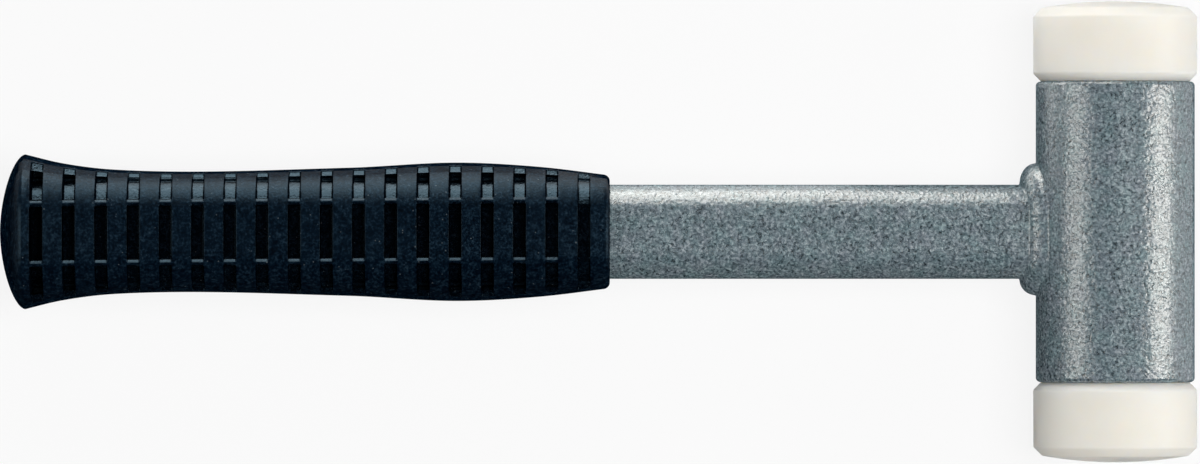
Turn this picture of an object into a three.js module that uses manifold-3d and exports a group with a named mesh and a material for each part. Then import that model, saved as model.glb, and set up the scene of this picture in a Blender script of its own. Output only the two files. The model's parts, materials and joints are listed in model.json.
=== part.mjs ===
// Soft-faced dead-blow hammer, lying on its side with its butt towards -X and its head at +X.
// The head is a steel tube along Y with a nylon face pressed into each end, and a charge of
// loose steel shot slides between two closing discs inside it. A flat-oval tube handle is
// coped and welded to the head, and carries a moulded rubber grip with windows in its sides.
// Lengths are millimetres. Heights run along Y and depths along Z, across the handle.

import * as THREE from "three";
import { mergeVertices } from "three/addons/utils/BufferGeometryUtils.js";
import loadManifold from "manifold-3d";

const wasm = await loadManifold();
wasm.setup();

// Fits
const FIT_CLEARANCE = 0.3;
const SHOT_CLEARANCE = 0.25;

// Nylon faces
const FACE_DIAMETER = 40;
const FACE_LENGTH = 19.6;
const FACE_CROWN = 1.6;
const FACE_OUTER_CHAMFER = 2.1;
const FACE_SEAT_CHAMFER = 1.9;
const FACE_SHANK_LENGTH = 10;
const FACE_SHANK_LEAD = 0.8;

// Head tube and the discs that close its shot chamber
const HEAD_DIAMETER = 38.8;
const HEAD_LENGTH = 73.4;
const HEAD_WALL = 3.2;
const HEAD_EDGE_ROUND = 1.1;
const HEAD_BORE_LEAD = 0.5;
const DISC_THICKNESS = 3;
const DISC_EDGE_CHAMFER = 0.4;

// Shot charge
const SHOT_DIAMETER = 7;
const SHOT_COUNT = 42;

// Handle tube, from the grip's butt to the head's axis
const HANDLE_REACH = 272.5;
const HANDLE_HEIGHT = 23;
const HANDLE_DEPTH = 15;
const HANDLE_EDGE_FLAT = 1;
const HANDLE_WALL = 1.8;
const HANDLE_FLAT_MARGIN = 0.5;

// Weld bead between handle and head
const WELD_LEG_ON_HANDLE = 3.8;
const WELD_LEG_ALONG_HEAD = 4.6;
const WELD_LEG_ROUND_HEAD = 2.4;

// Grip, with the rubber's thickness over the tube at each station along it
const GRIP_LENGTH = 149;
const GRIP_END_WALL = 9;
const GRIP_FLOOR = 1.9;
const DOME_POWER = 1.7;
const RIM_FROM_BUTT = 6.2;
const RIM_TOP_WALL = 7.4;
const RIM_FRONT_WALL = 9.2;
const FLARE_FROM_BUTT = 15;
const FLARE_TOP_WALL = 5.3;
const FLARE_FRONT_WALL = 6.8;
const WAIST_FROM_BUTT = 28;
const WAIST_TOP_WALL = 3.7;
const WAIST_FRONT_WALL = 4.9;
const PALM_FROM_MOUTH = 64;
const PALM_TOP_WALL = 4.15;
const PALM_FRONT_WALL = 5.2;
const SWELL_FROM_MOUTH = 37;
const SWELL_TOP_WALL = 5.4;
const SWELL_FRONT_WALL = 6.2;
const NECK_FROM_MOUTH = 17;
const NECK_TOP_WALL = 4.35;
const NECK_FRONT_WALL = 5.3;
const MOUTH_TOP_WALL = 2.3;
const MOUTH_FRONT_WALL = 3.3;
const MOUTH_ROUND = 1.4;

// Windows moulded into both sides of the grip, in columns along it
const WINDOW_COLUMNS = 18;
const WINDOW_WIDTH = 3;
const WINDOW_FROM_BUTT = 8;
const WINDOW_FROM_MOUTH = 4.8;
const WINDOW_FRONT_HALF = 7;
const WINDOW_RIB = 1.1;
const WINDOW_RIM = 0.9;
const WINDOW_LEDGE_DROP = 3.5;

// Facets
const ROUND_SEGMENTS = 48;
const ARC_DIVISIONS = 2;
const CROWN_DIVISIONS = 3;
const CORNER_STEPS = 5;
const GRIP_CORNER_STEPS = 6;
const WELD_STEPS = 5;
const DOME_STEPS = 6;
const SHOT_DETAIL = 1;
const MERGE_DISTANCE = 1e-4;

// Sizes that follow from the ones above
const faceRadius = FACE_DIAMETER / 2;
const headRadius = HEAD_DIAMETER / 2;
const boreRadius = headRadius - HEAD_WALL;
const headEnd = HEAD_LENGTH / 2;
const shankEnd = headEnd - FACE_SHANK_LENGTH;
const chamberEnd = shankEnd - DISC_THICKNESS;
const buttX = -HANDLE_REACH;
const mouthX = buttX + GRIP_LENGTH;
const handleStartX = buttX + GRIP_END_WALL + FIT_CLEARANCE;
const topFlat = HANDLE_EDGE_FLAT / 2;
const handleRound = HANDLE_DEPTH / 2 - topFlat;
const frontFlat = HANDLE_HEIGHT / 2 - handleRound;

// The x of the head's surface, with the fitting clearance, at a distance z from its axis
function headSurfaceX(z) {
  return -Math.sqrt((headRadius + FIT_CLEARANCE) ** 2 - z ** 2);
}

// Finishes
function finish(color, roughness, metalness) {
  return new THREE.MeshStandardMaterial({ color, roughness, metalness });
}
const hammertonePaint = () => finish(0x6e7c81, 0.42, 0.35);
const nylon = () => finish(0xe6e0d2, 0.4, 0);
const rubber = () => finish(0x141c24, 0.7, 0);
const bareSteel = () => finish(0x8c9094, 0.35, 1);

function named(name, geometry, material) {
  const mesh = new THREE.Mesh(geometry, material);
  mesh.name = name;
  return mesh;
}

// A closed mesh as a solid for cutting, and a solid back as a mesh
function solidOf(geometry) {
  const bare = geometry.clone();
  bare.deleteAttribute("normal");
  bare.deleteAttribute("uv");
  const merged = mergeVertices(bare, MERGE_DISTANCE);
  const vertProperties = new Float32Array(merged.attributes.position.array);
  const triVerts = new Uint32Array(merged.index.array);
  return new wasm.Manifold(new wasm.Mesh({ numProp: 3, vertProperties, triVerts }));
}

function geometryOf(solid) {
  const mesh = solid.getMesh();
  const geometry = new THREE.BufferGeometry();
  geometry.setAttribute("position", new THREE.BufferAttribute(new Float32Array(mesh.vertProperties), 3));
  geometry.setIndex(new THREE.BufferAttribute(new Uint32Array(mesh.triVerts), 1));
  geometry.computeVertexNormals();
  return geometry;
}

// A skin over rings of points that run from +Y towards +Z, in order along +X.
// Its two ends close on the given tips, and with no tips the last ring joins the first.
function loft(rings, tips) {
  const around = rings[0].length;
  const points = rings.flat();
  const triangles = [];
  const strips = tips ? rings.length - 1 : rings.length;
  for (let k = 0; k < strips; k += 1) {
    const here = k * around;
    const next = ((k + 1) % rings.length) * around;
    for (let i = 0; i < around; i += 1) {
      const j = (i + 1) % around;
      triangles.push(here + i, here + j, next + j);
      triangles.push(here + i, next + j, next + i);
    }
  }
  if (tips) {
    const last = (rings.length - 1) * around;
    const startTip = points.length;
    const endTip = startTip + 1;
    points.push(...tips);
    for (let i = 0; i < around; i += 1) {
      const j = (i + 1) % around;
      triangles.push(startTip, j, i);
      triangles.push(endTip, last + i, last + j);
    }
  }
  const geometry = new THREE.BufferGeometry().setFromPoints(points);
  geometry.setIndex(triangles);
  geometry.computeVertexNormals();
  return geometry;
}

// A point on the handle's axis
function axisPoint(x) {
  return new THREE.Vector3(x, 0, 0);
}

// A rounded rectangle across the handle as points with their outward directions,
// from the middle of the top flat towards +Z and round
function roundedLoop(height, depth, radius) {
  const loop = [];
  const flatY = height / 2 - radius;
  const flatZ = depth / 2 - radius;
  for (let corner = 0; corner < 4; corner += 1) {
    const up = corner === 0 || corner === 3 ? 1 : -1;
    const front = corner < 2 ? 1 : -1;
    if (corner % 2 === 0) {
      loop.push({ y: (up * height) / 2, z: 0, outY: up, outZ: 0 });
    }
    for (let step = 0; step <= CORNER_STEPS; step += 1) {
      const turn = ((corner + step / CORNER_STEPS) * Math.PI) / 2;
      const outY = Math.cos(turn);
      const outZ = Math.sin(turn);
      loop.push({ y: up * flatY + radius * outY, z: front * flatZ + radius * outZ, outY, outZ });
    }
  }
  return loop;
}

// A straight bar of rounded-rectangle section between two places along X
function roundedBar(height, depth, radius, startX, endX) {
  const loop = roundedLoop(height, depth, radius);
  const ringAt = (x) => loop.map((point) => new THREE.Vector3(x, point.y, point.z));
  return loft([ringAt(startX), ringAt(endX)], [axisPoint(startX), axisPoint(endX)]);
}

// Head tube: outside up, inside down, with rounded outer edges and a lead at each bore mouth
function makeHeadTube() {
  const quarter = Math.PI / 2;
  const rounded = headRadius - HEAD_EDGE_ROUND;
  const roundStart = headEnd - HEAD_EDGE_ROUND;
  const profile = new THREE.Path();
  profile.moveTo(boreRadius + HEAD_BORE_LEAD, -headEnd);
  profile.lineTo(rounded, -headEnd);
  profile.absarc(rounded, -roundStart, HEAD_EDGE_ROUND, -quarter, 0, false);
  profile.absarc(rounded, roundStart, HEAD_EDGE_ROUND, 0, quarter, false);
  profile.lineTo(boreRadius + HEAD_BORE_LEAD, headEnd);
  profile.lineTo(boreRadius, headEnd - HEAD_BORE_LEAD);
  profile.lineTo(boreRadius, HEAD_BORE_LEAD - headEnd);
  profile.lineTo(boreRadius + HEAD_BORE_LEAD, -headEnd);
  return new THREE.LatheGeometry(profile.getPoints(ARC_DIVISIONS), ROUND_SEGMENTS);
}

// Nylon face: shank in the bore, seat on the tube's end, chamfered rim and crowned striking face
function makeFaceInsert() {
  const shankRadius = boreRadius - FIT_CLEARANCE;
  const crownEdge = faceRadius - FACE_OUTER_CHAMFER;
  const crownRadius = (crownEdge ** 2 + FACE_CROWN ** 2) / (2 * FACE_CROWN);
  const apex = headEnd + FACE_LENGTH;
  const rim = apex - FACE_CROWN - FACE_OUTER_CHAMFER;
  const crownCentre = apex - crownRadius;
  const crownStart = Math.asin((apex - FACE_CROWN - crownCentre) / crownRadius);
  const profile = new THREE.Path();
  profile.moveTo(0, shankEnd);
  profile.lineTo(shankRadius - FACE_SHANK_LEAD, shankEnd);
  profile.lineTo(shankRadius, shankEnd + FACE_SHANK_LEAD);
  profile.lineTo(shankRadius, headEnd);
  profile.lineTo(faceRadius - FACE_SEAT_CHAMFER, headEnd);
  profile.lineTo(faceRadius, headEnd + FACE_SEAT_CHAMFER);
  profile.lineTo(faceRadius, rim);
  profile.absarc(0, crownCentre, crownRadius, crownStart, Math.PI / 2, false);
  return new THREE.LatheGeometry(profile.getPoints(CROWN_DIVISIONS), ROUND_SEGMENTS);
}

// Closing disc: pressed into the bore under a nylon face's shank
function makeClosingDisc() {
  const radius = boreRadius - FIT_CLEARANCE;
  const profile = [
    new THREE.Vector2(0, chamberEnd),
    new THREE.Vector2(radius - DISC_EDGE_CHAMFER, chamberEnd),
    new THREE.Vector2(radius, chamberEnd + DISC_EDGE_CHAMFER),
    new THREE.Vector2(radius, shankEnd - DISC_EDGE_CHAMFER),
    new THREE.Vector2(radius - DISC_EDGE_CHAMFER, shankEnd),
    new THREE.Vector2(0, shankEnd),
  ];
  return new THREE.LatheGeometry(profile, ROUND_SEGMENTS);
}

// Places of the shot in one layer: rings one pitch apart from the bore's wall inwards
function shotLayer(pitch) {
  const places = [];
  let radius = boreRadius - SHOT_CLEARANCE - SHOT_DIAMETER / 2;
  while (radius > pitch / 2) {
    const count = Math.floor(Math.PI / Math.asin(pitch / (2 * radius)));
    for (let i = 0; i < count; i += 1) {
      const turn = (i / count) * 2 * Math.PI;
      places.push({ x: radius * Math.cos(turn), z: radius * Math.sin(turn) });
    }
    radius -= pitch;
  }
  if (radius >= 0) {
    places.push({ x: 0, z: 0 });
  }
  return places;
}

// Shot charge: layers stacked on the lower disc until every ball has its place
function makeShotCharge() {
  const charge = new THREE.Group();
  const pitch = SHOT_DIAMETER + SHOT_CLEARANCE;
  const layer = shotLayer(pitch);
  const floor = SHOT_CLEARANCE + SHOT_DIAMETER / 2 - chamberEnd;
  for (let i = 0; i < SHOT_COUNT; i += 1) {
    const place = layer[i % layer.length];
    const y = floor + Math.floor(i / layer.length) * pitch;
    const number = String(i + 1).padStart(2, "0");
    const geometry = new THREE.IcosahedronGeometry(SHOT_DIAMETER / 2, SHOT_DETAIL);
    const ball = named(`shot_ball_${number}`, geometry, bareSteel());
    ball.position.set(place.x, y, place.z);
    charge.add(ball);
  }
  return charge;
}

// Handle tube: outside from butt to head, then inside back, with the head end coped to the head.
// Its sides have a clear flat from the grip's mouth to the weld.
function makeHandleTube() {
  const outside = roundedLoop(HANDLE_HEIGHT, HANDLE_DEPTH, handleRound);
  const inside = roundedLoop(
    HANDLE_HEIGHT - 2 * HANDLE_WALL,
    HANDLE_DEPTH - 2 * HANDLE_WALL,
    handleRound - HANDLE_WALL,
  );
  const ringAt = (loop, xOf) => loop.map((point) => new THREE.Vector3(xOf(point.z), point.y, point.z));
  const weldToeX = headSurfaceX(0) - WELD_LEG_ON_HANDLE;
  const rings = [
    ringAt(outside, () => handleStartX),
    ringAt(outside, () => mouthX + HANDLE_FLAT_MARGIN),
    ringAt(outside, () => weldToeX - HANDLE_FLAT_MARGIN),
    ringAt(outside, headSurfaceX),
    ringAt(inside, headSurfaceX),
    ringAt(inside, () => handleStartX),
  ];
  return loft(rings);
}

// Weld bead: a convex fillet all round the handle, its toes on the handle and on the head
function makeWeldBead() {
  const loop = roundedLoop(
    HANDLE_HEIGHT + 2 * FIT_CLEARANCE,
    HANDLE_DEPTH + 2 * FIT_CLEARANCE,
    handleRound + FIT_CLEARANCE,
  );
  const pointAt = (place, turn) => {
    const y = place.y + place.outY * WELD_LEG_ALONG_HEAD * Math.sin(turn);
    const z = place.z + place.outZ * WELD_LEG_ROUND_HEAD * Math.sin(turn);
    return new THREE.Vector3(headSurfaceX(z) - WELD_LEG_ON_HANDLE * Math.cos(turn), y, z);
  };
  const rings = [];
  for (let step = 0; step <= WELD_STEPS; step += 1) {
    const turn = ((step / WELD_STEPS) * Math.PI) / 2;
    rings.push(loop.map((place) => pointAt(place, turn)));
  }
  rings.push(loop.map((place) => new THREE.Vector3(headSurfaceX(place.z), place.y, place.z)));
  return loft(rings);
}

// Rubber thickness over the tube along the grip, as a smooth curve through its stations
const gripWalls = new THREE.CubicInterpolant(
  [
    RIM_FROM_BUTT,
    FLARE_FROM_BUTT,
    WAIST_FROM_BUTT,
    GRIP_LENGTH - PALM_FROM_MOUTH,
    GRIP_LENGTH - SWELL_FROM_MOUTH,
    GRIP_LENGTH - NECK_FROM_MOUTH,
    GRIP_LENGTH,
  ],
  [
    [RIM_TOP_WALL, RIM_FRONT_WALL],
    [FLARE_TOP_WALL, FLARE_FRONT_WALL],
    [WAIST_TOP_WALL, WAIST_FRONT_WALL],
    [PALM_TOP_WALL, PALM_FRONT_WALL],
    [SWELL_TOP_WALL, SWELL_FRONT_WALL],
    [NECK_TOP_WALL, NECK_FRONT_WALL],
    [MOUTH_TOP_WALL, MOUTH_FRONT_WALL],
  ].flat(),
  2,
);

function gripHalfSizes(fromButt) {
  const [topWall, frontWall] = gripWalls.evaluate(fromButt);
  return { halfHeight: HANDLE_HEIGHT / 2 + topWall, halfDepth: HANDLE_DEPTH / 2 + frontWall };
}

// A ring of the grip's skin: flats over the tube's own flats, with elliptic corners between
function gripRing(fromButt, halfHeight, halfDepth, scale) {
  const ring = [];
  for (let corner = 0; corner < 4; corner += 1) {
    const up = corner === 0 || corner === 3 ? 1 : -1;
    const front = corner < 2 ? 1 : -1;
    for (let step = 0; step <= GRIP_CORNER_STEPS; step += 1) {
      const turn = ((corner + step / GRIP_CORNER_STEPS) * Math.PI) / 2;
      const y = up * frontFlat + (halfHeight - frontFlat) * Math.cos(turn);
      const z = front * topFlat + (halfDepth - topFlat) * Math.sin(turn);
      ring.push(new THREE.Vector3(buttX + fromButt, y * scale, z * scale));
    }
  }
  return ring;
}

// Grip's outside without its windows: domed butt, rim, flared waist, palm swell, rounded mouth
function makeGripSkin(columnPitch) {
  const rings = [];
  const rim = gripHalfSizes(RIM_FROM_BUTT);
  for (let step = 1; step < DOME_STEPS; step += 1) {
    const scale = Math.sin(((step / DOME_STEPS) * Math.PI) / 2);
    const rise = 1 - (1 - scale ** DOME_POWER) ** (1 / DOME_POWER);
    rings.push(gripRing(RIM_FROM_BUTT * rise, rim.halfHeight, rim.halfDepth, scale));
  }
  rings.push(gripRing(RIM_FROM_BUTT, rim.halfHeight, rim.halfDepth, 1));
  const land = columnPitch - WINDOW_WIDTH;
  for (let column = 1; column < WINDOW_COLUMNS; column += 1) {
    const fromButt = WINDOW_FROM_BUTT + column * columnPitch - land / 2;
    const { halfHeight, halfDepth } = gripHalfSizes(fromButt);
    rings.push(gripRing(fromButt, halfHeight, halfDepth, 1));
  }
  for (let step = 0; step <= ARC_DIVISIONS; step += 1) {
    const turn = ((step / ARC_DIVISIONS) * Math.PI) / 2;
    const fromButt = GRIP_LENGTH - MOUTH_ROUND * (1 - Math.sin(turn));
    const inset = MOUTH_ROUND * (1 - Math.cos(turn));
    const { halfHeight, halfDepth } = gripHalfSizes(fromButt);
    rings.push(gripRing(fromButt, halfHeight - inset, halfDepth - inset, 1));
  }
  return loft(rings, [axisPoint(buttX), axisPoint(mouthX)]);
}

// The windows of one column on one side: a front window and a corner window above and below it,
// or one window right across where the column has no ribs
function windowColumn(fromButt, side, ribbed) {
  const middle = fromButt + WINDOW_WIDTH / 2;
  const { halfHeight, halfDepth } = gripHalfSizes(middle);
  const cornerStart = WINDOW_FRONT_HALF + WINDOW_RIB;
  const cornerEnd = halfHeight - WINDOW_RIM;
  const ledge = HANDLE_DEPTH / 2 - WINDOW_LEDGE_DROP;
  const windowFrom = (lowY, highY) => {
    const box = new THREE.BoxGeometry(WINDOW_WIDTH, highY - lowY, halfDepth);
    box.translate(buttX + middle, (lowY + highY) / 2, side * (ledge + halfDepth / 2));
    return solidOf(box);
  };
  if (!ribbed) {
    return windowFrom(-cornerEnd, cornerEnd);
  }
  const front = windowFrom(-WINDOW_FRONT_HALF, WINDOW_FRONT_HALF);
  const upper = windowFrom(cornerStart, cornerEnd);
  const lower = windowFrom(-cornerEnd, -cornerStart);
  return front.add(upper).add(lower);
}

// Grip: the skin, less its windows down to a thin sleeve, less the blind socket for the tube
function makeGrip() {
  const columnSpan = GRIP_LENGTH - WINDOW_FROM_BUTT - WINDOW_FROM_MOUTH - WINDOW_WIDTH;
  const columnPitch = columnSpan / (WINDOW_COLUMNS - 1);
  const socketHeight = HANDLE_HEIGHT + 2 * FIT_CLEARANCE;
  const socketDepth = HANDLE_DEPTH + 2 * FIT_CLEARANCE;
  const socketRadius = handleRound + FIT_CLEARANCE;
  const socketStartX = buttX + GRIP_END_WALL;
  const socketEndX = mouthX + MOUTH_ROUND;
  const socket = roundedBar(socketHeight, socketDepth, socketRadius, socketStartX, socketEndX);
  const sleeve = roundedBar(
    socketHeight + 2 * GRIP_FLOOR,
    socketDepth + 2 * GRIP_FLOOR,
    socketRadius + GRIP_FLOOR,
    buttX,
    mouthX,
  );
  const columns = [];
  for (let column = 0; column < WINDOW_COLUMNS; column += 1) {
    const fromButt = WINDOW_FROM_BUTT + column * columnPitch;
    const ribbed = column < WINDOW_COLUMNS - 1;
    columns.push(windowColumn(fromButt, 1, ribbed), windowColumn(fromButt, -1, ribbed));
  }
  const windows = columns.reduce((joined, column) => joined.add(column));
  const skin = solidOf(makeGripSkin(columnPitch));
  return geometryOf(skin.subtract(windows.subtract(solidOf(sleeve))).subtract(solidOf(socket)));
}

// Assembly about the head's centre, then set down on the lowest line of the nylon faces
const hammer = new THREE.Group();
hammer.add(named("head_tube", makeHeadTube(), hammertonePaint()));
hammer.add(named("upper_face_insert", makeFaceInsert(), nylon()));
hammer.add(named("upper_closing_disc", makeClosingDisc(), bareSteel()));

const lowerEnd = new THREE.Group();
lowerEnd.add(named("lower_face_insert", makeFaceInsert(), nylon()));
lowerEnd.add(named("lower_closing_disc", makeClosingDisc(), bareSteel()));
lowerEnd.rotation.z = Math.PI;
hammer.add(lowerEnd);

hammer.add(makeShotCharge());
hammer.add(named("handle_tube", makeHandleTube(), hammertonePaint()));
hammer.add(named("handle_weld_bead", makeWeldBead(), hammertonePaint()));
hammer.add(named("grip", makeGrip(), rubber()));
hammer.position.set((HANDLE_REACH - faceRadius) / 2, 0, faceRadius);

const part = new THREE.Group();
part.add(hammer);

export default part;
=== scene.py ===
# Looks of a soft-faced dead-blow hammer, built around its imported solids.
# Sizes and places are millimetres in the frame of the solids, and become metres when a mesh is made.
# Only the stage, the lights and the camera are written in metres.
import json
import math

import bmesh
import bpy
import numpy as np
from mathutils import Matrix, Vector, noise


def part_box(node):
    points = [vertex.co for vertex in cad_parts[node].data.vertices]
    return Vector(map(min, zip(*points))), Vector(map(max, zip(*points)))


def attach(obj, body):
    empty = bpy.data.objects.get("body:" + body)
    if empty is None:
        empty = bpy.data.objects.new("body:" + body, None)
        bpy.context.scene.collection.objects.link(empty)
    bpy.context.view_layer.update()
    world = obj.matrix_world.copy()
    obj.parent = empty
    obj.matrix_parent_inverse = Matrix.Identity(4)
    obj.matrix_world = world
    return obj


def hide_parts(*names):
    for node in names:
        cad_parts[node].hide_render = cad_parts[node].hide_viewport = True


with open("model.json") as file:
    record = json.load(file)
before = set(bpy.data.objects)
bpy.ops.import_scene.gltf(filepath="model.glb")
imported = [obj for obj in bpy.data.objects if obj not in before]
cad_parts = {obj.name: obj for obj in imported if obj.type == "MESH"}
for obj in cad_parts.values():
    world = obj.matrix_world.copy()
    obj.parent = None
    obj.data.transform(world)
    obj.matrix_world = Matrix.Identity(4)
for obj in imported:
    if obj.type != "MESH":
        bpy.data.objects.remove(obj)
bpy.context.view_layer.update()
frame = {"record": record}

MM = 0.001


# Sizes read from the solids
def node_box(name):
    """A node's lowest and highest corners in mm."""
    low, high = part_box(name)
    return np.array(low) / MM, np.array(high) / MM


head_low, head_high = node_box("head_tube")
insert_low, insert_high = node_box("upper_face_insert")
disc_low, disc_high = node_box("upper_closing_disc")
handle_low, handle_high = node_box("handle_tube")
grip_low, grip_high = node_box("grip")

head_centre = (head_low + head_high) / 2
head_radius = (head_high[2] - head_low[2]) / 2
head_end = head_high[1]
face_radius = (insert_high[2] - insert_low[2]) / 2
face_apex = insert_high[1]
shank_end = insert_low[1]
disc_radius = (disc_high[2] - disc_low[2]) / 2
handle_height = handle_high[1] - handle_low[1]
handle_depth = handle_high[2] - handle_low[2]
axis_z = head_centre[2]
butt_x = grip_low[0]
grip_length = grip_high[0] - grip_low[0]

# Head, nylon faces, closing discs and shot
HEAD_WALL = 3.2
HEAD_EDGE_ROUND = 1.1
HEAD_BORE_LEAD = 0.5
FACE_CROWN = 1.6
FACE_CROWN_STEPS = 12
FACE_OUTER_CHAMFER = 2.1
FACE_SEAT_CHAMFER = 1.9
FACE_SEAT_ROUND = 0.3
FACE_EDGE_ROUND = 1.0
SHANK_LEAD = 0.8
FIT_CLEARANCE = 0.3
DISC_EDGE_CHAMFER = 0.4
DISC_EDGE_ROUND = 0.15
SHOT_DENT_SIZE = 2.2
SHOT_DENT_SHARE = 0.025  # of the radius
TURNED_SEGMENTS = 160

# Handle and weld
HANDLE_EDGE_FLAT = 1.0
HANDLE_WALL = 1.8
HANDLE_RINGS = 24
WELD_LEG_ON_EDGE = 4.0
WELD_LEG_ON_FLAT = 3.3
WELD_LEG_ABOVE = 5.2
WELD_LEG_BELOW = 4.0
WELD_LEG_ROUND_HEAD = 2.4
WELD_TOE = 0.4
WELD_TOE_SHARES = ((1.0, -0.06), (0.5, 0.05), (0.16, 0.24))  # along the metal and up from it, from the tip
WELD_ARC_MARGIN = 0.16  # radians of the bead's arc that each toe takes up
WELD_ARC_STEPS = 13
WELD_LOOP_STEPS = 30
WELD_LUMPS = ((2.4, 0.2), (0.8, 0.2))  # size and height
WELD_ROOT_DEPTH = 0.3
handle_round = (handle_depth - HANDLE_EDGE_FLAT) / 2

# Grip skin: distance from the butt, then rubber over the tube at the top and at the front
GRIP_STATIONS = (
    (6.2, 7.4, 9.2),
    (15.0, 5.3, 6.8),
    (28.0, 3.7, 4.9),
    (85.0, 4.15, 5.2),
    (112.0, 5.4, 6.2),
    (132.0, 4.35, 5.3),
    (149.0, 2.3, 3.3),
)
DOME_LENGTH = 6.2
DOME_POWER = 1.7
DOME_STEPS = 22
MOUTH_ROUND = 1.4
MOUTH_STEPS = 7
GRIP_END_WALL = 9
GRIP_FLOOR = 1.9
GRIP_TWIST_AT_BUTT = math.radians(2.3)
GRIP_TWIST_AT_MOUTH = math.radians(-2.3)
SOCKET_MOUTH_STEP = 0.6
SOCKET_BOTTOM_STEP = 20
NEARLY_ZERO = 1e-9

# Grip windows: columns along the grip, and their section from the middle of the front to the top
WINDOW_COLUMNS = 18
WINDOW_WIDTH = 3.0
WINDOW_FROM_BUTT = 8.0
WINDOW_FROM_MOUTH = 4.8
FRONT_FLOOR_HALF = 6.45
FRONT_FLOOR_SHARE = 0.9  # of it that is drawn with even steps
FRONT_FLOOR_POINTS = 7
FRONT_EDGE_HALF = 7.24
CORNER_EDGE = 7.5
CORNER_FLOOR = 8.15
CORNER_FLOOR_POINTS = 12
WALL_LEAN = 0.12
RIB_CHAMFER_DROP = 0.54
RIB_MARGIN = 1.0
LEDGE_WIDTH = 0.95
LEDGE_DROP = 0.45
LEDGE_LEAN = 0.2
CREVICE_START = 13.3
CREVICE_LEAST = 0.1
CREVICE_DEEPENING = 3.0
CREVICE_FLOOR_Z = 2.5
EDGED_SHARES = np.array((0.06, 0.2, 0.8, 0.94))
SHELF_RECESS = 0.35
SHELF_START_SHARE = 0.47
SHELF_END_SHARE = 0.18
SHELF_SLOPE = math.tan(math.radians(41))
SHELF_WALL_LEAN = 0.06
RIM_POINTS = 8
WINDOW_ROUND = 0.12
POCKET_DEPTH = 0.12
# How deep a window is, from 0 to 1, at distances past its edge
WINDOW_EDGE = ((-0.28, 0.0), (-0.1, 0.015), (-0.02, 0.07), (0.1, 0.93), (0.2, 0.985), (0.4, 1.0))
# Rows of points on the plain skin: past the dome, across each land, and from the last window to the mouth
DOME_ROWS = (0.0, 0.6, 1.1)
LAND_SHARES = (0.25, 0.5, 0.75)
MOUTH_SHARES = (0.3, 0.6, 0.85)

# Looks
VEIN_DARKENING = 0.25
TURNING_MARKS = 0.15
RUBBER_GRAIN_SHARE = 0.65
# Painted shade: colour multiplier that darkens the rubber down in the grip's windows
POCKET_PAINTED_SHADE = (0.4, 0.4, 0.4, 1)
POCKET_SMOOTHING = 0.1
# More painted shade on the floors of the front and back windows
WELL_PAINTED_SHADE = (0.75, 0.6, 0.6, 1)
WELL_DULLING = 1.6
NOISE_RANGE = (0.3, 0.7)  # where most values of a noise lie

# Stage and camera, in metres
FLOOR_HALF = 6.0
FLOOR_GREY = 0.8
FLOOR_WHITE_SEEN = 0.87
FLOOR_WHITE_MIRRORED = 0.12
CARD_GREY = 0.01
STAGE_ROUGHNESS = 0.9
ROOM_COLOUR = (0.92, 1.0, 1.06, 1)
ROOM_DARK = 0.04
ROOM_DARK_Y = -0.9
ROOM_LIGHT = 0.06
ROOM_LIGHT_Y = -0.1
FLAG_Y = -0.075
FLAG_HEIGHT = 0.15
FLAG_REACH = 0.3
FLAG_LIFT = 0.001
FLAG_HEAD_X = 0.105
FLAG_EDGE_Y = -0.012
FLAG_BUTT_X = -0.15
FLAG_BUTT_Y = 0.03
FLAG_NECK_X = 0.065
FLAG_NECK_Y = 0.036
CAMERA_X = 0.36 * MM
CAMERA_Y = -0.05 * MM
CAMERA_DISTANCE = 2.6
FRAME_WIDTH = 0.29322  # what the photograph's width spans at the hammer


# Mesh helpers
def rounded(corners, steps=3):
    """Points along a polyline whose corners (a, b, radius) are turned into arcs of that radius."""
    points = []
    last = len(corners) - 1
    for i, (a, b, radius) in enumerate(corners):
        corner = np.array((a, b))
        if radius == 0 or i in (0, last):
            points.append(corner)
            continue
        back = np.array(corners[i - 1][:2]) - corner
        ahead = np.array(corners[i + 1][:2]) - corner
        back = back / np.linalg.norm(back)
        ahead = ahead / np.linalg.norm(ahead)
        half = math.acos(np.clip(back @ ahead, -1, 1)) / 2
        middle = (back + ahead) / np.linalg.norm(back + ahead)
        centre = corner + middle * radius / math.sin(half)
        start = corner + back * radius / math.tan(half) - centre
        end = corner + ahead * radius / math.tan(half) - centre
        first = math.atan2(start[1], start[0])
        sweep = math.atan2(start[0] * end[1] - start[1] * end[0], start @ end)
        for k in range(steps + 1):
            angle = first + sweep * k / steps
            points.append(centre + radius * np.array((math.cos(angle), math.sin(angle))))
    return np.array(points)


def linked(name, data):
    """A new object in the scene."""
    thing = bpy.data.objects.new(name, data)
    bpy.context.scene.collection.objects.link(thing)
    return thing


def mesh_piece(name, points, faces):
    """A smooth-shaded object with its points in mm, its faces turned outwards."""
    mesh = bpy.data.meshes.new(name)
    mesh.from_pydata((np.asarray(points) * MM).tolist(), [], faces)
    shell = bmesh.new()
    shell.from_mesh(mesh)
    bmesh.ops.recalc_face_normals(shell, faces=shell.faces)
    shell.to_mesh(mesh)
    shell.free()
    mesh.shade_smooth()
    return linked(name, mesh)


def skin(name, rings, start=None, end=None, joined=False):
    """A closed skin over rings of points: its ends close on tips, or its last ring joins its first."""
    rings = np.asarray(rings, float)
    count, around = rings.shape[:2]
    index = np.arange(count * around).reshape(count, around)
    if joined:
        index = np.vstack([index, index[:1]])
    turned = np.roll(index, -1, axis=1)
    quads = np.stack([index[:-1], turned[:-1], turned[1:], index[1:]], axis=-1)
    faces = quads.reshape(-1, 4).tolist()
    points = rings.reshape(-1, 3)
    for tip, row in ((start, 0), (end, -1)):
        if tip is not None:
            faces += [(len(points), int(a), int(b)) for a, b in zip(index[row], turned[row])]
            points = np.vstack([points, tip])
    return mesh_piece(name, points, faces)


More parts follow.
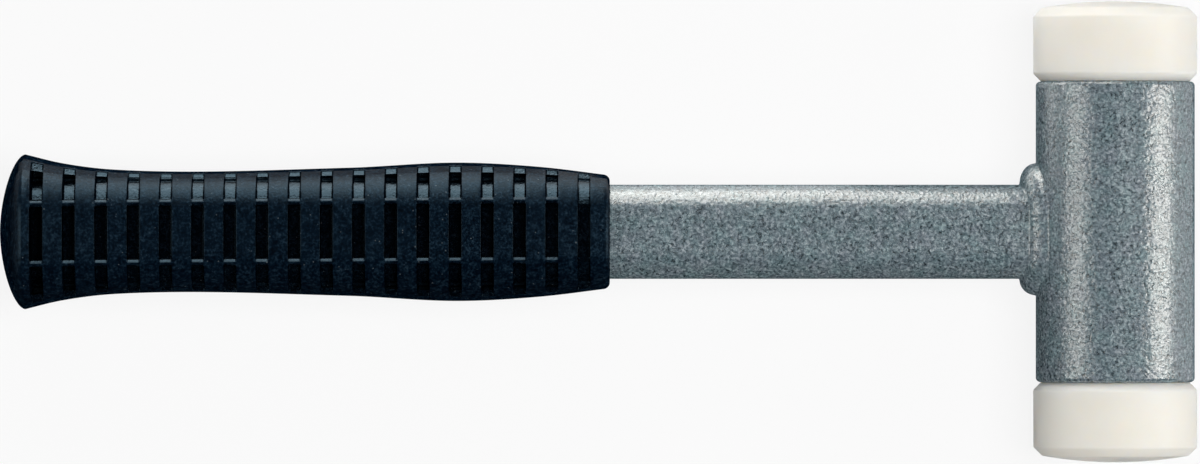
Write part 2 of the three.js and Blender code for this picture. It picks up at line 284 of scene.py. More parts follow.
def lathe(name, profile, joined=False):
    """A profile of (radius, y) turned about the head's axis; a radius of 0 closes on the axis."""
    angles = np.linspace(0, 2 * math.pi, TURNED_SEGMENTS, endpoint=False)
    cx, _, cz = head_centre
    rings = [
        np.stack([cx + r * np.cos(angles), np.full_like(angles, y), cz + r * np.sin(angles)], axis=-1)
        for r, y in profile
        if r > 0
    ]
    tips = [(cx, y, cz) if r == 0 else None for r, y in (profile[0], profile[-1])]
    return skin(name, rings, *tips, joined)


def even_shading(piece):
    """Flat stretches keep their own normals beside narrow rounds."""
    piece.modifiers.new("even_shading", "WEIGHTED_NORMAL").keep_sharp = False


def place(piece, material, body, slot, *nodes):
    """Dresses a piece, stands it in for its solids and lets it ride on their body."""
    piece.data.materials.append(material)
    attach(piece, body)
    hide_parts(*nodes)


# Materials
class Finish:
    """A material's nodes with short calls: an input is a value or another node's output."""

    def __init__(self, name):
        self.material = bpy.data.materials.new(name)
        self.material.use_nodes = True
        self.tree = self.material.node_tree
        self.shader = self.tree.nodes["Principled BSDF"]
        self.place = self.add("ShaderNodeTexCoord").outputs["Object"]

    def set(self, node, inputs):
        """Fills a node's inputs, which are given by name or number."""
        for name, value in inputs.items():
            if isinstance(value, bpy.types.NodeSocket):
                self.tree.links.new(value, node.inputs[name])
            else:
                node.inputs[name].default_value = value

    def add(self, kind, inputs=None, **settings):
        """A new node, set up and with its inputs filled."""
        node = self.tree.nodes.new(kind)
        for name, value in settings.items():
            setattr(node, name, value)
        self.set(node, inputs or {})
        return node

    def attribute(self, name):
        """A share that the mesh's points carry."""
        return self.add("ShaderNodeAttribute", attribute_name=name).outputs["Fac"]

    def noise(self, size, detail=2.0, roughness=0.5, distortion=0.0):
        """Noise from 0 to 1, with patches of about size mm."""
        inputs = {"Vector": self.place, "Scale": 1 / (size * MM), "Detail": detail}
        inputs.update({"Roughness": roughness, "Distortion": distortion})
        return self.add("ShaderNodeTexNoise", inputs).outputs["Fac"]

    def specks(self, size):
        """How far the nearest of points scattered about size mm apart is, as a share of that size."""
        inputs = {"Vector": self.place, "Scale": 1 / (size * MM)}
        return self.add("ShaderNodeTexVoronoi", inputs, feature="F1").outputs["Distance"]

    def math(self, operation, a, b=0.0):
        """One operation on one or two values."""
        node = self.add("ShaderNodeMath", operation=operation)
        self.set(node, {0: a, 1: b})
        return node.outputs[0]

    def span(self, value, old, new=(0.0, 1.0)):
        """A value carried over from one range to another and held at its ends."""
        inputs = {"Value": value, "From Min": old[0], "From Max": old[1], "To Min": new[0], "To Max": new[1]}
        return self.add("ShaderNodeMapRange", inputs).outputs["Result"]

    def ramp(self, value, *stops):
        """Colours at stops (position, colour) along a value, blended in between."""
        node = self.add("ShaderNodeValToRGB", {"Fac": value})
        elements = node.color_ramp.elements
        while len(elements) < len(stops):
            elements.new(0.5)
        for element, (position, colour) in zip(elements, stops):
            element.position = position
            element.color = (*colour, 1)
        return node.outputs["Color"]

    def tint(self, amount, colour, other):
        """One colour multiplied by another; a Mix node's colours have the sockets 6, 7 and 2."""
        node = self.add("ShaderNodeMix", data_type="RGBA", blend_type="MULTIPLY")
        self.set(node, {0: amount, 6: colour, 7: other})
        return node.outputs[2]

    def dulled(self, level, start, end):
        """A specular level that falls where the surface is seen at a slant, as on a skin with a fine grain.
        The socket holds the full level too, for the export, which drops a linked one."""
        self.shader.inputs["Specular IOR Level"].default_value = level
        slant = self.add("ShaderNodeLayerWeight", {"Blend": 0.5}).outputs["Facing"]
        return self.span(slant, (start, end), (level, 0.0))

    def bump(self, height, depth, normal=None):
        """Relief of a depth in mm, over a coarser one where its normal is given."""
        inputs = {"Height": height, "Distance": depth * MM, "Strength": 1.0}
        if normal is not None:
            inputs["Normal"] = normal
        return self.add("ShaderNodeBump", inputs).outputs["Normal"]


def hammertone_paint():
    """Blue-green grey paint with a fine grain, broken dark veins and a slow drift of its hue."""
    paint = Finish("hammertone_paint")
    swirl = paint.noise(1.2, detail=0.5, distortion=0.8)
    beside_vein = paint.math("ABSOLUTE", paint.math("SUBTRACT", swirl, 0.5))
    unbroken = paint.span(paint.noise(0.9, detail=1.0), (0.36, 0.54))
    veins = paint.math("MULTIPLY", paint.span(beside_vein, (0.015, 0.065), (1.0, 0.0)), unbroken)
    grain = paint.noise(0.75, roughness=0.55)
    tone = paint.math("SUBTRACT", grain, paint.math("MULTIPLY", veins, VEIN_DARKENING))
    lumps = paint.noise(1.5, detail=1.0, roughness=0.4)
    colour = paint.ramp(
        tone,
        (0.16, (0.023, 0.037, 0.045)),
        (0.4, (0.111, 0.154, 0.176)),
        (0.52, (0.168, 0.223, 0.249)),
        (0.7, (0.34, 0.407, 0.433)),
    )
    hue = paint.ramp(
        paint.noise(4.5, roughness=0.6),
        (0.3, (0.92, 1.02, 1.0)),
        (0.5, (1.0, 1.0, 1.0)),
        (0.7, (1.07, 0.99, 1.02)),
    )
    paint.set(
        paint.shader,
        {
            "Base Color": paint.tint(1.0, colour, hue),
            "IOR": 1.75,
            "Specular IOR Level": paint.dulled(1.0, start=0.26, end=0.78),
            "Specular Tint": (1.0, 0.97, 0.9, 1.0),
            "Roughness": paint.span(paint.noise(0.6), NOISE_RANGE, (0.2, 0.3)),
            "Normal": paint.bump(tone, depth=0.08, normal=paint.bump(lumps, depth=0.16)),
        },
    )
    return paint.material


def nylon():
    """Cream nylon that lets some light through, with faint turning marks."""
    turned = Finish("nylon")
    colour = turned.ramp(
        turned.noise(14.0),
        (0.3, (0.865, 0.828, 0.752)),
        (0.7, (0.89, 0.862, 0.797)),
    )
    marks = turned.add(
        "ShaderNodeTexWave",
        {"Vector": turned.place, "Scale": 420.0, "Distortion": 1.2, "Detail": 2.0, "Detail Scale": 1.5},
        wave_type="BANDS",
        bands_direction="Y",
    ).outputs["Fac"]
    grain = turned.noise(1.6, detail=3.0, roughness=0.6)
    relief = turned.math("ADD", turned.math("MULTIPLY", marks, TURNING_MARKS), grain)
    turned.set(
        turned.shader,
        {
            "Base Color": colour,
            "Roughness": turned.span(turned.noise(2.4, detail=3.0), NOISE_RANGE, (0.4, 0.5)),
            "Specular IOR Level": 0.4,
            "Subsurface Weight": 0.8,
            "Subsurface Radius": (1.0, 0.9, 0.75),
            "Subsurface Scale": 6.0 * MM,
            "Normal": turned.bump(relief, depth=0.012),
        },
    )
    return turned.material


def grip_rubber():
    """Bluish black rubber, mottled and a little dusty, with painted shade darkening its windows, more so in
    the front ones, which are also dull.
    """
    rubber = Finish("grip_rubber")
    pocket = rubber.attribute("pocket")
    well = rubber.attribute("well")
    grain = rubber.noise(0.6, roughness=0.6)
    cloud = rubber.noise(2.0, roughness=0.6)
    mottle = rubber.math(
        "ADD",
        rubber.math("MULTIPLY", grain, RUBBER_GRAIN_SHARE),
        rubber.math("MULTIPLY", cloud, 1 - RUBBER_GRAIN_SHARE),
    )
    dust = rubber.span(rubber.specks(2.2), (0.05, 0.1), (0.55, 0.0))
    scuffs = rubber.span(rubber.noise(2.4, detail=4.0, roughness=0.75), (0.66, 0.76), (0.0, 0.3))
    colour = rubber.ramp(
        rubber.math("ADD", mottle, rubber.math("MAXIMUM", dust, scuffs)),
        (0.36, (0.0001, 0.0008, 0.003)),
        (0.5, (0.0007, 0.0042, 0.0105)),
        (0.64, (0.008, 0.02, 0.034)),
        (1.0, (0.07, 0.08, 0.085)),
    )
    # Painted shade: the colour is darkened down in the windows, and more in the front and back ones
    colour_with_painted_shade = rubber.tint(well, rubber.tint(pocket, colour, POCKET_PAINTED_SHADE), WELL_PAINTED_SHADE)
    gloss = rubber.math("ADD", pocket, 1.0)
    gloss = rubber.math("SUBTRACT", gloss, rubber.math("MULTIPLY", well, WELL_DULLING))
    roughness = rubber.span(rubber.noise(1.1), NOISE_RANGE, (0.3, 0.4))
    smoothing = rubber.math("MULTIPLY", pocket, POCKET_SMOOTHING)
    weave = rubber.math("MULTIPLY", pocket, rubber.noise(0.7, detail=1.0))
    rubber.set(
        rubber.shader,
        {
            "Base Color": colour_with_painted_shade,
            "Roughness": rubber.math("SUBTRACT", roughness, smoothing),
            "Specular IOR Level": rubber.math("MULTIPLY", rubber.dulled(0.25, start=0.2, end=0.68), gloss),
            "Specular Tint": (0.48, 0.8, 1.0, 1.0),
            "Normal": rubber.bump(grain, depth=0.08, normal=rubber.bump(weave, depth=0.07)),
        },
    )
    return rubber.material


def bare_steel():
    """Bare steel with scuffs."""
    steel = Finish("bare_steel")
    scuffs = steel.noise(1.3, detail=4.0, roughness=0.65, distortion=0.6)
    colour = steel.ramp(
        steel.noise(4.0, detail=3.0),
        (0.3, (0.34, 0.345, 0.35)),
        (0.7, (0.52, 0.525, 0.53)),
    )
    steel.set(
        steel.shader,
        {
            "Base Color": colour,
            "Metallic": 1.0,
            "Roughness": steel.span(scuffs, NOISE_RANGE, (0.28, 0.5)),
            "Normal": steel.bump(scuffs, depth=0.02),
        },
    )
    return steel.material


def stage_finish(name, grey):
    """An even grey without gloss."""
    plain = Finish(name)
    plain.set(
        plain.shader,
        {"Base Color": (grey, grey, grey, 1), "Roughness": STAGE_ROUGHNESS, "Specular IOR Level": 0.0},
    )
    return plain


# Head, nylon faces, closing discs and shot
def make_head(material):
    """The head's tube, open at both ends."""
    bore = head_radius - HEAD_WALL
    corners = [
        (bore, 0, 0),
        (bore, -head_end + HEAD_BORE_LEAD, 0),
        (bore + HEAD_BORE_LEAD, -head_end, 0),
        (head_radius, -head_end, HEAD_EDGE_ROUND),
        (head_radius, head_end, HEAD_EDGE_ROUND),
        (bore + HEAD_BORE_LEAD, head_end, 0),
        (bore, head_end - HEAD_BORE_LEAD, 0),
    ]
    head = lathe("painted_head_tube", rounded(corners, steps=8) + (0, head_centre[1]), joined=True)
    even_shading(head)
    place(head, material, "hammer", "hammertone_paint", "head_tube")


def make_face(name, node, side, material):
    """A nylon face: shank, seat chamfer, rounded rim and crowned striking face, on one side of the head."""
    shank = head_radius - HEAD_WALL - FIT_CLEARANCE
    crown_edge = face_radius - FACE_OUTER_CHAMFER
    rim = face_apex - FACE_CROWN - FACE_OUTER_CHAMFER
    crown_radius = (crown_edge**2 + FACE_CROWN**2) / (2 * FACE_CROWN)
    corners = [
        (0, shank_end, 0),
        (shank - SHANK_LEAD, shank_end, 0),
        (shank, shank_end + SHANK_LEAD, 0),
        (shank, head_end, 0),
        (face_radius - FACE_SEAT_CHAMFER, head_end, FACE_SEAT_ROUND),
        (face_radius, head_end + FACE_SEAT_CHAMFER, FACE_EDGE_ROUND),
        (face_radius, rim, FACE_EDGE_ROUND),
        (crown_edge, rim + FACE_OUTER_CHAMFER, FACE_EDGE_ROUND),
    ]
    for step in range(1, FACE_CROWN_STEPS):
        radius = crown_edge * (1 - step / FACE_CROWN_STEPS)
        corners.append((radius, face_apex - crown_radius + math.sqrt(crown_radius**2 - radius**2), 0))
    corners.append((0, face_apex, 0))
    face = lathe(name, rounded(corners, steps=5) * (1, side))
    even_shading(face)
    place(face, material, "hammer", "nylon", node)


def make_disc(name, node, side, material):
    """A steel disc pressed into the bore under a nylon face."""
    near, far = disc_low[1], disc_high[1]
    inner = disc_radius - DISC_EDGE_CHAMFER
    corners = [
        (0, near, 0),
        (inner, near, DISC_EDGE_ROUND),
        (disc_radius, near + DISC_EDGE_CHAMFER, DISC_EDGE_ROUND),
        (disc_radius, far - DISC_EDGE_CHAMFER, DISC_EDGE_ROUND),
        (inner, far, DISC_EDGE_ROUND),
        (0, far, 0),
    ]
    disc = lathe(name, rounded(corners) * (1, side))
    even_shading(disc)
    place(disc, material, "hammer", "bare_steel", node)


def make_shot(node, material):
    """One cast ball of the charge, a little uneven as cast shot is."""
    low, high = node_box(node)
    centre = (low + high) / 2
    radius = (high - low).min() / 2
    ball = bmesh.new()
    bmesh.ops.create_icosphere(ball, subdivisions=3, radius=radius * MM)
    for vertex in ball.verts:
        dent = 0.5 + 0.5 * noise.noise(vertex.co / (SHOT_DENT_SIZE * MM) + Vector(centre))
        vertex.co *= 1 - SHOT_DENT_SHARE * dent
        vertex.co += Vector(centre * MM)
    mesh = bpy.data.meshes.new(node + "_cast")
    ball.to_mesh(mesh)
    ball.free()
    mesh.shade_smooth()
    place(linked(node + "_cast", mesh), material, "shot_charge", "bare_steel", node)


# Handle and weld
def bar_loop(height, depth, radius, steps=12, flats=6):
    """A rounded rectangle across the handle, from the top round the front.
    Its rows are y, z from the axis and the outward direction there."""
    loop = []
    for corner in range(4):
        up = 1 if corner in (0, 3) else -1
        front = 1 if corner < 2 else -1
        centre = np.array((up * (height / 2 - radius), front * (depth / 2 - radius)))
        for step in range(steps + 1):
            turn = (corner + step / steps) * math.pi / 2
            out = np.array((math.cos(turn), math.sin(turn)))
            loop.append((*(centre + radius * out), *out))
        run = depth - 2 * radius if corner % 2 else height - 2 * radius
        for step in range(1, flats):
            loop.append((*(loop[-1][:2] + run / flats * np.array((-out[1], out[0]))), *out))
    return np.array(loop)


def head_surface_x(z):
    """Where the head's near side lies, at heights z from its axis."""
    return head_centre[0] - np.sqrt(head_radius**2 - z**2)


def make_handle(material):
    """The flat-oval tube, with its end cut to fit round the head."""
    outside = bar_loop(handle_height, handle_depth, handle_round)
    inside = bar_loop(
        handle_height - 2 * HANDLE_WALL, handle_depth - 2 * HANDLE_WALL, handle_round - HANDLE_WALL
    )
    start = handle_low[0]

    def ring(loop, share):
        ends = head_surface_x(loop[:, 1]) + FIT_CLEARANCE
        x = start + (ends - start) * share
        return np.stack([x, loop[:, 0], loop[:, 1] + axis_z], axis=-1)

    shares = np.linspace(0, 1, HANDLE_RINGS)
    rings = [ring(outside, share) for share in shares] + [ring(inside, share) for share in shares[::-1]]
    handle = skin("painted_handle_tube", rings, joined=True)
    even_shading(handle)
    place(handle, material, "hammer", "hammertone_paint", "handle_tube")


def make_weld(material):
    """A convex bead all round the handle, a little lumpy, with a longer leg above than below."""
    loop = bar_loop(handle_height, handle_depth, handle_round, WELD_LOOP_STEPS, WELD_LOOP_STEPS)
    y, z, out_y, out_z = loop.T
    leg_y = np.where(out_y > 0, WELD_LEG_ABOVE, WELD_LEG_BELOW)
    reach = np.hypot(out_y * leg_y, out_z * WELD_LEG_ROUND_HEAD)
    leg_x = WELD_LEG_ON_EDGE + (WELD_LEG_ON_FLAT - WELD_LEG_ON_EDGE) * np.abs(out_z)
    lumps = np.zeros_like(y)
    for size, height in WELD_LUMPS:
        lumps += height * np.array([noise.noise(Vector((a, b, 0)) / size) for a, b in zip(y, z)])
    rings = []

    def add_ring(out, back):
        """A ring at a distance out along the head and back along the handle."""
        ring_y = y + out_y * leg_y * out / reach
        ring_z = z + out_z * WELD_LEG_ROUND_HEAD * out / reach
        rings.append(np.stack([head_surface_x(ring_z) - back, ring_y, ring_z + axis_z], axis=-1))

    # Across the bead, from its hollow toe on the handle to the one on the head
    toe = WELD_TOE * np.array(WELD_TOE_SHARES)
    for along, rise in toe:
        add_ring(np.full_like(reach, rise), leg_x + along)
    for turn in np.linspace(WELD_ARC_MARGIN, math.pi / 2 - WELD_ARC_MARGIN, WELD_ARC_STEPS):
        lump = lumps * math.sin(2 * turn)
        add_ring((reach + lump) * math.sin(turn), (leg_x + lump) * math.cos(turn))
    for along, rise in toe[::-1]:
        add_ring(reach + along, rise)
    # The root, a little way into the handle and the head
    inner_y = y - out_y * WELD_ROOT_DEPTH
    inner_z = z - out_z * WELD_ROOT_DEPTH
    for root_x in (head_surface_x(z) + WELD_ROOT_DEPTH, head_surface_x(z) - leg_x):
        rings.append(np.stack([root_x, inner_y, inner_z + axis_z], axis=-1))
    bead = skin("weld_bead", rings, joined=True)
    even_shading(bead)
    place(bead, material, "hammer", "hammertone_paint", "handle_weld_bead")


# Grip
def flowing(places, values, at):
    """A smooth curve through values at places, with each slope the mean of those beside it."""
    slopes = np.diff(values) / np.diff(places)
    tangents = np.concatenate([slopes[:1], (slopes[:-1] + slopes[1:]) / 2, slopes[-1:]])
    i = int(np.clip(np.searchsorted(places, at) - 1, 0, len(slopes) - 1))
    width = places[i + 1] - places[i]
    t = (at - places[i]) / width
    fall = 2 * t**3 - 3 * t**2 + 1
    ends = fall * values[i] + (1 - fall) * values[i + 1]
    return ends + width * ((t**3 - 2 * t**2 + t) * tangents[i] + (t**3 - t**2) * tangents[i + 1])


def grip_half_sizes(along):
    """Half the grip's height and half its depth, at a distance from the butt."""
    places, top, front = np.array(GRIP_STATIONS).T
    return handle_height / 2 + flowing(places, top, along), handle_depth / 2 + flowing(places, front, along)


def grip_quadrant(half_height, half_depth, ribbed=True):
    """Points across a quarter of the grip, from the middle of its front to the middle of its top.
    Rows are y, the skin's z and the z down in a window, which may have no rib beside its corner."""
    flat_y = handle_height / 2 - handle_round
    flat_z = handle_depth / 2 - handle_round
    core_round = handle_round + FIT_CLEARANCE + GRIP_FLOOR

    def skin_z(y):
        share = np.clip((y - flat_y) / (half_height - flat_y), 0, 1)
        return flat_z + (half_depth - flat_z) * np.sqrt(1 - share**2)

    def core_z(y):
        rise = core_round**2 - np.maximum(y - flat_y, 0) ** 2
        return flat_z + np.sqrt(np.maximum(rise, 0))

    # The front window's floor, the rib beside it and the corner window's floor
    rib_round = WINDOW_ROUND / 2
    front_chamfer = FRONT_FLOOR_HALF + WALL_LEAN
    corner_chamfer = CORNER_FLOOR - WALL_LEAN
    front_floor = np.linspace(0, FRONT_FLOOR_HALF * FRONT_FLOOR_SHARE, FRONT_FLOOR_POINTS)
    corners = [(y, core_z(y), 0) for y in front_floor]
    corners += [
        (FRONT_FLOOR_HALF, core_z(FRONT_FLOOR_HALF), WINDOW_ROUND),
        (front_chamfer, skin_z(FRONT_EDGE_HALF) - RIB_CHAMFER_DROP, rib_round),
        (FRONT_EDGE_HALF, skin_z(FRONT_EDGE_HALF), rib_round),
        (CORNER_EDGE, skin_z(CORNER_EDGE), rib_round),
        (corner_chamfer, skin_z(CORNER_EDGE) - RIB_CHAMFER_DROP, rib_round),
        (CORNER_FLOOR, core_z(CORNER_FLOOR), WINDOW_ROUND),
    ]

    # The corner window's end: a ledge, a crevice that is deeper where the rubber is thicker, a sloping shelf
    wall = half_height - handle_height / 2
    shelf_start = half_height - SHELF_START_SHARE * wall
    shelf_end = half_height - SHELF_END_SHARE * wall
    shelf_low = skin_z(shelf_end) - SHELF_RECESS
    shelf_high = shelf_low + (shelf_end - shelf_start) * SHELF_SLOPE
    shelf_top = shelf_end + SHELF_WALL_LEAN
    crevice = max(shelf_start - CREVICE_START, CREVICE_LEAST)
    ledge_end = shelf_start - crevice
    ledge_start = ledge_end - LEDGE_WIDTH
    ledge_y = ledge_start + LEDGE_WIDTH * EDGED_SHARES
    ledge_z = core_z(ledge_start) - LEDGE_DROP - (ledge_y - ledge_start) * LEDGE_LEAN
    crevice_floor = max(ledge_z[-1] - CREVICE_DEEPENING * crevice, CREVICE_FLOOR_Z)
    corner_floor = np.linspace(CORNER_FLOOR, ledge_start, CORNER_FLOOR_POINTS)[1:]
    corners += [(y, core_z(y), 0) for y in corner_floor]
    corners += [
        *((y, z, 0) for y, z in zip(ledge_y, ledge_z)),
        *((y, crevice_floor, 0) for y in ledge_end + crevice * EDGED_SHARES),
        (shelf_start, shelf_high, rib_round),
        (shelf_end, shelf_low, 0),
        (shelf_top, skin_z(shelf_top), 0),
    ]
    y, down = rounded(corners).T
    if not ribbed:
        at_rib = (y > FRONT_FLOOR_HALF - RIB_MARGIN) & (y < CORNER_FLOOR + RIB_MARGIN)
        down = np.where(at_rib, core_z(y), down)

    # The plain skin over the top
    turns = np.linspace(math.acos((y[-1] - flat_y) / (half_height - flat_y)), 0, RIM_POINTS)[1:]
    rim_y = flat_y + (half_height - flat_y) * np.cos(turns)
    rim_z = flat_z + (half_depth - flat_z) * np.sin(turns)
    rim_y = np.append(rim_y, (half_height, half_height))
    rim_z = np.append(rim_z, (flat_z / 2, 0))
    return np.concatenate([y, rim_y]), np.concatenate([skin_z(y), rim_z]), np.concatenate([down, rim_z])


def all_round(quarter):
    """A quarter's points (y, z) carried round the other three quarters."""
    above = np.vstack([quarter, quarter[-2::-1] * (1, -1)])
    return np.vstack([above, above[-2:0:-1] * (-1, 1)])


def grip_rows():
    """Rows along the grip as (from butt, window depth, with rib), from the rim to the mouth's round."""
    span = grip_length - WINDOW_FROM_BUTT - WINDOW_FROM_MOUTH - WINDOW_WIDTH
    pitch = span / (WINDOW_COLUMNS - 1)
    land = pitch - WINDOW_WIDTH
    rows = [(DOME_LENGTH + past, 0.0, True) for past in DOME_ROWS]
    for column in range(WINDOW_COLUMNS):
        ribbed = column < WINDOW_COLUMNS - 1
        start = WINDOW_FROM_BUTT + column * pitch
        end = start + WINDOW_WIDTH
        rows += [(start + past, depth, ribbed) for past, depth in WINDOW_EDGE]
        rows.append((start + WINDOW_WIDTH / 2, 1.0, ribbed))
        rows += [(end - past, depth, ribbed) for past, depth in WINDOW_EDGE[::-1]]
        if ribbed:
            rows += [(end + land * share, 0.0, True) for share in LAND_SHARES]
    mouth_start = grip_length - MOUTH_ROUND
    rows += [(end + (mouth_start - end) * share, 0.0, True) for share in MOUTH_SHARES]
    return rows


def socket_loop(loop):
    """Points (y, z) on the wall of the handle's socket, in the directions of a loop's points from the axis."""
    half_height = handle_height / 2 + FIT_CLEARANCE
    half_depth = handle_depth / 2 + FIT_CLEARANCE
    corner = handle_round + FIT_CLEARANCE
    flat_y, flat_z = half_height - corner, half_depth - corner
    points = []
    for a, b in loop:
        shrink = min(half_height / max(abs(a), NEARLY_ZERO), half_depth / max(abs(b), NEARLY_ZERO))
        p, q = abs(a) * shrink, abs(b) * shrink
        if p > flat_y and q > flat_z:
            reach = math.hypot(p - flat_y, q - flat_z)
            p = flat_y + (p - flat_y) * corner / reach
            q = flat_z + (q - flat_z) * corner / reach
        points.append((math.copysign(p, a), math.copysign(q, b)))
    return np.array(points)


def make_grip(material):
    """The rubber grip: domed butt, windowed skin, rounded mouth and the socket that holds the handle.
    Its points carry two shares for the material: pocket is how far they lie down in a window, and well
    is the same for the windows in the middle of the front and back; the material darkens the colour by both as
    painted shade."""
    rings = []
    pockets = []
    wells = []

    def add_ring(along, half_height, half_depth, depth=0.0, ribbed=True, scale=1.0):
        y, z, down = grip_quadrant(half_height, half_depth, ribbed)
        sunk = depth * (down - z)
        loop = all_round(np.stack([y, z + sunk], axis=-1)) * scale
        share = along / grip_length
        twist = GRIP_TWIST_AT_BUTT + (GRIP_TWIST_AT_MOUTH - GRIP_TWIST_AT_BUTT) * share
        turned_y = loop[:, 0] * math.cos(twist) - loop[:, 1] * math.sin(twist)
        turned_z = loop[:, 0] * math.sin(twist) + loop[:, 1] * math.cos(twist)
        x = np.full_like(turned_y, butt_x + along)
        rings.append(np.stack([x, turned_y, turned_z + axis_z], axis=-1))
        pocket = np.clip(-sunk / POCKET_DEPTH, 0, 1)
        well = np.where(y < FRONT_FLOOR_HALF + WALL_LEAN / 2, pocket, 0)
        pocket, well = np.abs(all_round(np.stack([pocket, well], axis=-1))).T
        pockets.append(pocket)
        wells.append(well)

    rim = grip_half_sizes(DOME_LENGTH)
    for step in range(1, DOME_STEPS):
        scale = math.sin(step / DOME_STEPS * math.pi / 2)
        rise = 1 - (1 - scale**DOME_POWER) ** (1 / DOME_POWER)
        add_ring(DOME_LENGTH * rise, *rim, scale=scale)
    for along, depth, ribbed in grip_rows():
        add_ring(along, *grip_half_sizes(along), depth, ribbed)
    for turn in np.linspace(0, math.pi / 2, MOUTH_STEPS):
        along = grip_length - MOUTH_ROUND * (1 - math.sin(turn))
        inset = MOUTH_ROUND * (1 - math.cos(turn))
        half_height, half_depth = grip_half_sizes(along)
        add_ring(along, half_height - inset, half_depth - inset)

    socket_y, socket_z = socket_loop(rings[-1][:, 1:] - (0, axis_z)).T
    socket_stops = (
        grip_length,
        grip_length - SOCKET_MOUTH_STEP,
        GRIP_END_WALL + SOCKET_BOTTOM_STEP,
        GRIP_END_WALL,
    )
    for along in socket_stops:
        x = np.full_like(socket_y, butt_x + along)
        rings.append(np.stack([x, socket_y, socket_z + axis_z], axis=-1))
        pockets.append(np.zeros_like(socket_y))
        wells.append(np.zeros_like(socket_y))
    tips = [(butt_x, 0, axis_z), (butt_x + GRIP_END_WALL, 0, axis_z)]
    grip = skin("windowed_grip", rings, *tips)
    for name, shares in (("pocket", pockets), ("well", wells)):
        values = np.concatenate([*shares, (0, 0)])
        grip.data.attributes.new(name, "FLOAT", "POINT").data.foreach_set("value", values)
    even_shading(grip)
    place(grip, material, "hammer", "grip_rubber", "grip")


# Stage, lights and camera
def make_floor():
    """A plain pale floor, white to the camera and a little lit up in reflections."""
    pale = stage_finish("pale_floor", FLOOR_GREY)
    ray = pale.add("ShaderNodeLightPath").outputs
    seen = pale.math("ADD", ray["Is Camera Ray"], ray["Is Transmission Ray"])
    seen = pale.math("MULTIPLY", seen, FLOOR_WHITE_SEEN)
    mirrored = pale.math("MULTIPLY", ray["Is Glossy Ray"], FLOOR_WHITE_MIRRORED)
    white = pale.add("ShaderNodeEmission", {"Color": (1, 1, 1, 1), "Strength": 1.0})
    mixed = pale.add("ShaderNodeMixShader", {"Fac": pale.math("ADD", seen, mirrored)})
    pale.set(mixed, {1: pale.shader.outputs[0], 2: white.outputs[0]})
    pale.set(pale.tree.nodes["Material Output"], {"Surface": mixed.outputs[0]})
    mesh = bpy.data.meshes.new("floor")
    signs = ((-1, -1), (1, -1), (1, 1), (-1, 1))
    mesh.from_pydata([(a * FLOOR_HALF, b * FLOOR_HALF, 0) for a, b in signs], [], [(0, 1, 2, 3)])
    mesh.materials.append(pale.material)
    floor = linked("floor", mesh)


def make_flag():
    """A black card that only reflections see, so that some edges stay dark. It stands below the hammer, and
    lies on the floor below the handle, past the butt, and in the corner between handle and head above."""
    standing = (
        (-FLAG_REACH, FLAG_LIFT),
        (FLAG_REACH, FLAG_LIFT),
        (FLAG_REACH, FLAG_HEIGHT),
        (-FLAG_REACH, FLAG_HEIGHT),
    )
    lying = (
        (-FLAG_REACH, FLAG_Y),
        (FLAG_HEAD_X, FLAG_Y),
        (FLAG_HEAD_X, FLAG_EDGE_Y),
        (FLAG_BUTT_X, FLAG_EDGE_Y),
        (FLAG_BUTT_X, FLAG_BUTT_Y),
        (-FLAG_REACH, FLAG_BUTT_Y),
    )
    beside_head = (
        (FLAG_NECK_X, -FLAG_EDGE_Y),
        (FLAG_HEAD_X, -FLAG_EDGE_Y),
        (FLAG_HEAD_X, FLAG_NECK_Y),
        (FLAG_NECK_X, FLAG_NECK_Y),
    )
    points = [(x, FLAG_Y, z) for x, z in standing]
    points += [(x, y, FLAG_LIFT) for x, y in lying + beside_head]
    mesh = bpy.data.meshes.new("flag")
    mesh.from_pydata(points, [], [(0, 1, 2, 3), (4, 5, 6, 7, 8, 9), (10, 11, 12, 13)])
    mesh.materials.append(stage_finish("black_card", CARD_GREY).material)
    flag = linked("flag", mesh)
    flag.visible_camera = False
    flag.visible_diffuse = False
    flag.visible_transmission = False
    flag.visible_shadow = False


def make_world():
    """A dim room, lighter on the side of the large softbox."""
    world = bpy.data.worlds.new("studio")
    world.use_nodes = True
    nodes, links = world.node_tree.nodes, world.node_tree.links
    towards = nodes.new("ShaderNodeSeparateXYZ")
    links.new(nodes.new("ShaderNodeTexCoord").outputs["Generated"], towards.inputs[0])
    strength = nodes.new("ShaderNodeMapRange")
    strength.inputs["From Min"].default_value = ROOM_DARK_Y
    strength.inputs["From Max"].default_value = ROOM_LIGHT_Y
    strength.inputs["To Min"].default_value = ROOM_DARK
    strength.inputs["To Max"].default_value = ROOM_LIGHT
    links.new(towards.outputs["Y"], strength.inputs["Value"])
    links.new(strength.outputs["Result"], nodes["Background"].inputs["Strength"])
    nodes["Background"].inputs["Color"].default_value = ROOM_COLOUR
    bpy.context.scene.world = world


def soft_light(name, near, far, width, brightness, mirrored=True, cast=True):
    """A flat panel from one end to the other, facing the hammer; brightness is what a mirror would show.
    One that isn't mirrored is left out of reflections, and one that isn't cast is seen in them alone."""
    near, far = Vector(near), Vector(far)
    middle = (near + far) / 2
    length = (far - near).length
    lamp = bpy.data.lights.new(name, "AREA")
    lamp.shape = "RECTANGLE"
    lamp.size = width
    lamp.size_y = length
    lamp.energy = brightness * math.pi * width * length
    along = (far - near).normalized()
    sideways = abs(middle.x) > abs(middle.y)
    facing = Vector((middle.x, 0, middle.z) if sideways else (0, middle.y, middle.z))
    across = along.cross(facing).normalized()
    facing = across.cross(along)
    panel = linked(name, lamp)
    panel.matrix_world = Matrix((*zip(across, along, facing, middle), (0, 0, 0, 1)))
    panel.visible_camera = False
    panel.visible_glossy = mirrored
    panel.visible_diffuse = cast


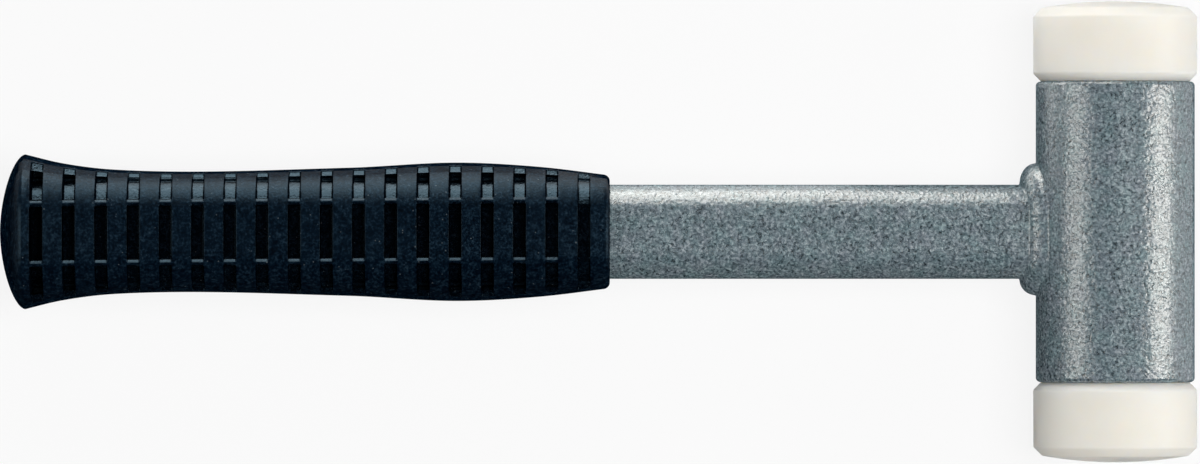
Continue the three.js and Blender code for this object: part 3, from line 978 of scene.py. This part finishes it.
def make_lights():
    """Large soft panels beyond the upper face and at both sides, fill from overhead and below,
    and cards that brighten the upper edges in reflections."""
    soft_light("softbox_above", (-0.1, 0.75, 0.0), (-0.1, 0.70, 0.6), width=0.5, brightness=2.1)
    soft_light("card_above", (-0.1, 0.76, 0.0), (-0.1, 0.71, 0.6), width=0.5, brightness=1.9, cast=False)
    soft_light("table_above", (-0.05, 0.08, 0.004), (-0.05, 0.5, 0.06), width=0.24, brightness=3.2)
    soft_light("card_top", (0.1, 0.70, 0.62), (0.1, 0.58, 0.82), width=0.2, brightness=2.1, cast=False)
    soft_light(
        "table_handle", (0.025, 0.026, 0.001), (0.025, 0.08, 0.009), width=0.07, brightness=1.0, cast=False
    )
    soft_light("strip_right", (0.7, 0, 0.08), (0.61, 0, 0.46), width=0.14, brightness=5.8)
    soft_light("panel_left", (-0.6, 0, 0.2), (-0.42, 0, 0.6), width=0.16, brightness=3.2)
    soft_light("fill_overhead", (0.12, 0, 1.2), (0.72, 0, 1.2), width=0.6, brightness=9.2, mirrored=False)
    soft_light("fill_below", (-0.3, -0.8, 0.3), (0.3, -0.8, 0.3), width=0.4, brightness=1.3, mirrored=False)


def make_camera():
    """The photograph's view, straight down on the hammer and from far enough to be nearly flat."""
    lens_data = bpy.data.cameras.new("camera")
    lens_data.lens = lens_data.sensor_width * CAMERA_DISTANCE / FRAME_WIDTH
    camera = linked("camera", lens_data)
    camera.location = (CAMERA_X, CAMERA_Y, axis_z * MM + CAMERA_DISTANCE)
    bpy.context.scene.camera = camera


paint = hammertone_paint()
plastic = nylon()
steel = bare_steel()
make_head(paint)
make_face("upper_nylon_face", "upper_face_insert", 1, plastic)
make_face("lower_nylon_face", "lower_face_insert", -1, plastic)
make_disc("upper_steel_disc", "upper_closing_disc", 1, steel)
make_disc("lower_steel_disc", "lower_closing_disc", -1, steel)
for shot_node in frame["record"]["behaviour"]["bodies"]["shot_charge"]:
    make_shot(shot_node, steel)
make_handle(paint)
make_weld(paint)
make_grip(grip_rubber())

make_floor()
make_flag()
make_world()
make_lights()
make_camera()
bpy.context.scene.view_settings.view_transform = "Standard"
